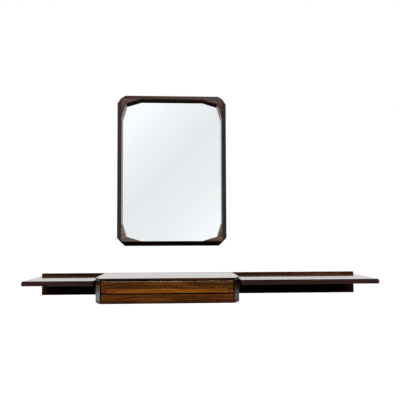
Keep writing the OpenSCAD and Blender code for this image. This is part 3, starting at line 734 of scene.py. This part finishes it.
# %% The nosed lippings
nose_top, nose_bottom, nose_up = 4 * MM, 3 * MM, 11 * MM
for side, sign in (("left", -1), ("right", 1)):
    front_low, front_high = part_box(f"{side}_front_lipping")
    end_low, end_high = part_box(f"{side}_end_lipping")
    nose_z = front_low.z + nose_up
    tip_x = end_low.x if sign < 0 else end_high.x
    inner_x = end_high.x if sign < 0 else end_low.x
    inner_corner = Vector((inner_x, front_high.y, 0))
    for name, low, high, waste in (
        ("front", front_low, front_high, (sign, 1, 0)),
        ("end", end_low, end_high, (-sign, -1, 0)),
    ):
        piece = block(f"{side}_{name}_edge", low, high)
        score(piece, (0, 0, nose_z), (0, 0, 1))
        if name == "front":
            push(piece, lambda p: near(p.y, front_low.y) and near(p.z, front_high.z), (0, nose_top, 0))
            push(piece, lambda p: near(p.y, front_low.y) and near(p.z, front_low.z), (0, nose_bottom, 0))
            material = edging_x
        else:
            push(piece, lambda p: near(p.x, tip_x) and near(p.z, end_high.z), (-sign * nose_top, 0, 0))
            push(piece, lambda p: near(p.x, tip_x) and near(p.z, end_low.z), (-sign * nose_bottom, 0, 0))
            material = edging_y
        saw(piece, inner_corner, waste)
        ease(piece, 0.6 * MM, from_angle=12)
        finish(piece, material, "rosewood", "root", f"{side}_{name}_lipping")
        print(piece.name, len(piece.data.polygons), "faces")

# %% [markdown]
# ## The drawer box
# The box is a top and a bottom board with sides and posts between them. Both boards have splayed
# front corners, and the posts carry the same splay, so that one saw cut is written down and used
# for all of them. The veneer follows the top board.

# %% The drawer box
corner_w, corner_d = 32 * MM, 63 * MM


def splay(piece, outer_x, front_y, sign):
    """Saws the splay off a front corner: the left one where sign is -1, the right one where it is 1."""
    saw(piece, (outer_x - sign * corner_w, front_y, 0), (sign * corner_d, -corner_w, 0))


for node, material, slot, arris in (
    ("box_top_board", edge_wood, "rosewood", 0.5 * MM),
    ("box_top_veneer", glossy_top, "top_veneer", 0.35 * MM),
    ("box_bottom_board", base_wood, "rosewood", 0.7 * MM),
):
    low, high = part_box(node)
    piece = block("splayed_" + node, low, high)
    splay(piece, low.x, low.y, -1)
    splay(piece, high.x, low.y, 1)
    ease(piece, arris)
    finish(piece, material, slot, "root", node)
box_low, box_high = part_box("box_top_board")
for side, sign in (("left", -1), ("right", 1)):
    low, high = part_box(f"{side}_corner_post")
    post = block(f"{side}_post", low, high)
    splay(post, low.x if sign < 0 else high.x, box_low.y, sign)
    ease(post, 0.6 * MM)
    finish(post, lit_and_shaded_post_woods[side], "rosewood", "root", f"{side}_corner_post")
print("box", [round(v, 3) for v in box_high - box_low])

# %% [markdown]
# ## The drawer fronts
# The upper front is a veneered panel over a solid rail, and the light lath is screwed to that rail.
# The rail's foot and the lower front's top are bevelled at the back, which makes room for
# fingertips in the gap. All four are sawn from blocks, and the panel's upper arris gets a pale wood
# face by face, a painted highlight.

# %% The drawer fronts
grip_bevel, grip_rise = 9 * MM, 7.85 * MM
panel = block("upper_panel", *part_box("upper_drawer_panel"))
ease(panel, 1.1 * MM)
finish(panel, front_veneer, "front_veneer", "upper_drawer", "upper_drawer_panel")
# The upper arris faces get the pale wood, a painted highlight.
panel.data.materials.append(painted_highlight_arris)
for face in panel.data.polygons:
    if face.normal.y < -0.2 and face.normal.z > 0.2:
        face.material_index = 1

low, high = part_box("upper_drawer_rail")
foot_rail = block("upper_foot_rail", low, high)
saw(foot_rail, (0, high.y - grip_bevel, low.z), (0, grip_rise, -grip_bevel))
ease(foot_rail, 0.7 * MM)
finish(foot_rail, foot_rail_wood, "rosewood", "upper_drawer", "upper_drawer_rail")

low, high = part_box("lower_drawer_front")
lower_front = block("lower_front", low, high)
saw(lower_front, (0, high.y - grip_bevel, high.z), (0, 1, 1))
ease(lower_front, 0.8 * MM)
finish(lower_front, low_front_veneer, "front_veneer", "lower_drawer", "lower_drawer_front")

low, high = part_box("handle_lath")
lath = block("light_lath", low, high)
ease(lath, 1.2 * MM, steps=3)
finish(lath, lath_wood, "lath_wood", "upper_drawer", "handle_lath")
print("lath", round(high.x - low.x, 3), "m long")

# %% [markdown]
# ## Slotted screws
# A screw head is a short round bar with a rounded rim and a sawn slot. A slot could be painted on,
# but a real cut catches the light from every side. The heads come from one helper, and their slots
# don't line up, because a joiner stops each screw where it is tight.

# %% Slotted screws
def screw_head(name, place, radius, front, back, slot_turn):
    """A round head with its slot turned by slot_turn degrees."""
    rim, slot_w, slot_depth = radius * 0.3, radius * 0.3, (back - front) * 0.6
    head = rod(name, place, radius, front, back)
    choose(head, "FACE", faces_room)
    bpy.ops.mesh.bevel(offset=rim, segments=3)
    bpy.ops.object.mode_set(mode="OBJECT")
    centre = Vector((place[0], front, place[1]))
    reach = Vector((radius * 1.2, slot_depth, slot_w / 2))
    cutter = block("slot_cutter", centre - reach, centre + reach)
    turn = Matrix.Rotation(math.radians(slot_turn), 4, "Y")
    cutter.data.transform(Matrix.Translation(centre) @ turn @ Matrix.Translation(-centre))
    carve(head, cutter)
    only(head)
    bpy.ops.object.shade_smooth_by_angle(angle=math.radians(40))
    return head


low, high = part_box("lath_screws")
head_r, head_h = 2.8 * MM, 1.2 * MM
row = (low.z + high.z) / 2
slot_turns = (20, 75, -40, 8)
pitch = (high.x - low.x - 2 * head_r) / (len(slot_turns) - 1)
for i, slot_turn in enumerate(slot_turns):
    place = (low.x + head_r + i * pitch, row)
    head = screw_head(f"lath_screw_{i}", place, head_r, low.y, low.y + head_h, slot_turn)
    finish(head, dark_steel, "dark_screws", "upper_drawer", "lath_screws")
print("lath screws:", len(slot_turns), "pitch", round(pitch, 3))

# %% [markdown]
# The rail's four wall screws are bought parts that the CAD model leaves to the wall. They are dark
# wood screws whose heads fill the sinkings, with a plain shank behind each, so that no hole looks
# empty from either side.

# %% Wall screws
wall_head_r, wall_shank_r, head_play = 5.2 * MM, 2.5 * MM, 0.3 * MM
foot = rail_low.y + sink_d
for x, slot_turn in zip(hole_xs, (35, -15, 60, 5)):
    head = screw_head("wall_screw", (x, hole_z), wall_head_r, rail_low.y + head_play, foot, slot_turn)
    shank = rod("wall_screw_shank", (x, hole_z), wall_shank_r, foot, 0)
    only(head, shank)
    bpy.ops.object.join()
    finish(head, dark_steel, "dark_screws", "root")

# %% [markdown]
# ## What stays as it is
# Pins, dowels, pegs, brads and the sheets behind have nothing that a second model would show
# better. They keep their solids and only get their finish.

# %% Finishes on the pieces that stay
KEPT = {
    "mitre_splines": lining_x,
    "mirror_backing_board": brown_board,
    "backing_brads": zinc,
    "hanger_plates": zinc,
    "hanger_screws": zinc,
    "shelf_pins": zinc,
    "box_back_panel": lining_x,
    "box_screws": zinc,
    "carcass_dowels": lining_z,
    "upper_drawer_stop": lining_z,
    "lower_drawer_stop": lining_z,
    "upper_drawer_bottom": brown_board,
    "lower_drawer_bottom": brown_board,
}
for node, material in KEPT.items():
    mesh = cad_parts[node].data
    mesh.materials.clear()
    mesh.materials.append(material)
print("kept:", len(KEPT), "nodes")

# %% [markdown]
# ## The floor
# A pale floor lies where the floor of a hall would be under the console. A floor that is simply
# white would throw its light up onto every underside, which in the picture are nearly black. So the
# kind of ray decides: the camera sees a pale floor with its shadows, the light that bounces meets a
# dark one, and the gloss of the wood mirrors a bright one that fades far in front and to the right.

# %% Floor
floor_z = -0.95
bpy.ops.object.select_all(action="DESELECT")
bpy.ops.mesh.primitive_plane_add(size=30, location=(0, 0, floor_z))
floor = bpy.context.object
floor.name = "floor"
paint = Recipe("pale_floor")
path = paint.node("LightPath").outputs
plain = paint.math("MAXIMUM", path["Is Camera Ray"], path["Is Transmission Ray"])
seen = paint.math("MAXIMUM", plain, path["Is Glossy Ray"])
place = paint.node("TexCoord").outputs["Object"]
ground = paint.node("SeparateXYZ", Vector=place).outputs
far_front = paint.node("MapRange", Value=ground["Y"], From_Min=-2.8, From_Max=-4.5).outputs[0]
to_the_right = paint.node("MapRange", Value=ground["X"], From_Min=0.5, From_Max=2.5, To_Max=0.5).outputs[0]
from_wood = paint.math("SUBTRACT", path["Is Glossy Ray"], path["Is Singular Ray"])
dim = paint.math("MULTIPLY", paint.math("MAXIMUM", far_front, to_the_right), from_wood)
lit = paint.math("SUBTRACT", seen, dim)
glow = paint.math("ADD", paint.math("MULTIPLY", lit, 0.95), paint.math("MULTIPLY", plain, -0.5))
paint.surface(
    Base_Color=paint.mix(plain, tone(22, 22, 22), tone(235, 235, 235)),
    Roughness=0.9,
    Specular_IOR_Level=0.0,
    Emission_Color=tone(255, 255, 255),
    Emission_Strength=glow,
)
floor.data.materials.append(paint.material)
print("floor at", floor_z)

# %% [markdown]
# ## The lamps
# A large soft lamp high on the left and a weaker one on the right light the wood. Small lamps would
# draw hard shadows under the frame and the console. The discs stay out of the gloss, where they
# would show as round spots.

# %% Lamps
def lamp(name, place, target, size, power):
    data = bpy.data.lights.new(name, "AREA")
    data.shape = "DISK"
    data.size = size
    data.energy = power
    made = bpy.data.objects.new(name, data)
    made.location = place
    made.rotation_euler = (Vector(target) - Vector(place)).to_track_quat("-Z", "Y").to_euler()
    made.visible_glossy = False
    bpy.context.scene.collection.objects.link(made)


lamp("key_lamp", (-1.3, -2.3, 3.0), (0.1, 0, 0.3), 1.8, 80)
lamp("fill_lamp", (2.4, -2.2, 2.6), (0.3, 0, 0.3), 1.8, 30)
print("lamps:", len(bpy.data.lights))

# %% [markdown]
# ## The room
# The world is a pale room, and it too answers by the kind of ray. The camera sees plain white. What
# bounces off the wood meets a room that is brighter above than below, so that undersides fall into
# shade. The perfectly smooth glass asks with singular rays, and shows a pale grey slant between two
# white corners. The lacquer mirrors that slant too, with a dim ceiling, darker sides and the white
# of the wall that the console hangs on.

# %% The room's light
world = bpy.data.worlds.new("pale_room")
bpy.context.scene.world = world
world.use_nodes = True
world.node_tree.nodes.clear()
sky = NodeBench(world.node_tree)
direction = sky.node("SeparateXYZ", Vector=sky.node("TexCoord").outputs["Generated"]).outputs
right, inward, up = direction["X"], direction["Y"], direction["Z"]


def grey_by(value, stops):
    """Grey light that changes with a value between -1 and 1."""
    share = sky.node("MapRange", Value=value, From_Min=-1.0, From_Max=1.0).outputs[0]
    return sky.ramp(share, [((place + 1) / 2, (grey, grey, grey, 1)) for place, grey in stops])


def times(first, second):
    return sky.mix(1.0, first, second, "MULTIPLY")


room = grey_by(up, [(0.1, 0.0), (0.3, 0.2), (0.5, 0.75), (1.0, 0.85)])
in_the_glass = grey_by(
    sky.math("SUBTRACT", up, right),
    [(-0.08, 1.0), (0.05, 0.88), (0.17, 0.84), (0.27, 0.92), (0.34, 1.0)],
)
walls = grey_by(up, [(-0.05, 0.0), (-0.01, 1.0), (0.32, 1.0), (0.5, 0.1)])
sides = grey_by(right, [(-0.75, 0.35), (-0.35, 1.0), (0.35, 1.0), (0.75, 0.35)])
ceiling = times(grey_by(up, [(0.6, 0.0), (0.85, 1.0)]), grey_by(right, [(-0.12, 0.0), (0.12, 0.4)]))
wall_behind = grey_by(inward, [(0.4, 0.0), (0.6, 1.0)])
around = sky.mix(1.0, times(times(walls, in_the_glass), sides), ceiling, "ADD")
in_the_lacquer = sky.mix(1.0, around, wall_behind, "LIGHTEN")
print("world nodes so far:", len(sky.tree.nodes))

# %% Which ray sees what
path = sky.node("LightPath").outputs
plain = sky.math("MAXIMUM", path["Is Camera Ray"], path["Is Transmission Ray"])
light = sky.node("Background", Color=room, Strength=1.0).outputs[0]
for rays, look in (
    (path["Is Glossy Ray"], in_the_lacquer),
    (path["Is Singular Ray"], in_the_glass),
    (plain, (1, 1, 1, 1)),
):
    chosen = sky.node("MixShader", Fac=rays)
    sky.feed(chosen.inputs[1], light)
    sky.feed(chosen.inputs[2], sky.node("Background", Color=look, Strength=1.0).outputs[0])
    light = chosen.outputs[0]
sky.node("OutputWorld", Surface=light)
bpy.context.scene.view_settings.view_transform = "Standard"
print("world nodes:", len(sky.tree.nodes))

# %% [markdown]
# ## The end
# The CAD frame's box was taken at the start. Here the view layer is brought up to date.

# %% The end
bpy.context.view_layer.update()
